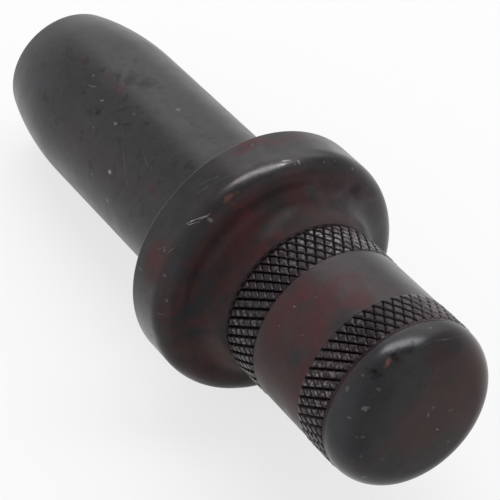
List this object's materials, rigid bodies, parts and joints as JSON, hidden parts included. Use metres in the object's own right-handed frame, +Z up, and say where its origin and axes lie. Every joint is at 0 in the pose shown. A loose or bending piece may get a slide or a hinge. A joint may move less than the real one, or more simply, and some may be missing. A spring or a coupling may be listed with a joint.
{
  "type": "hammer-driven flaring tool",
  "caption": "Hammer-driven flaring tool for copper tube: round-nosed pilot, 45 degree flare seat, flanged collar, diamond-knurled handle and rounded striking end, in blued steel.",
  "frame": {"origin": "on the surface that the tool lies on, under the middle of its bounding box", "axes": "+X along the tool towards its nose, +Z up; the tool's own axis dips 9.0 degrees below +X, because the tool lies on its collar's rim and on its nose"},
  "size_m": [0.1266, 0.0492, 0.0497],
  "materials": {
    "pilot_steel": "satin black oxide on turned steel",
    "collar_steel": "satin plum-brown oxide on turned steel",
    "handle_steel": "satin plum-brown oxide, diamond knurled in two bands",
    "cap_steel": "satin blue-black oxide on hardened steel"
  },
  "bodies": {
    "root": {"pilot": "pilot_steel", "flaring_collar": "collar_steel", "handle": "handle_steel", "striking_cap": "cap_steel"}
  },
  "joints": []
}
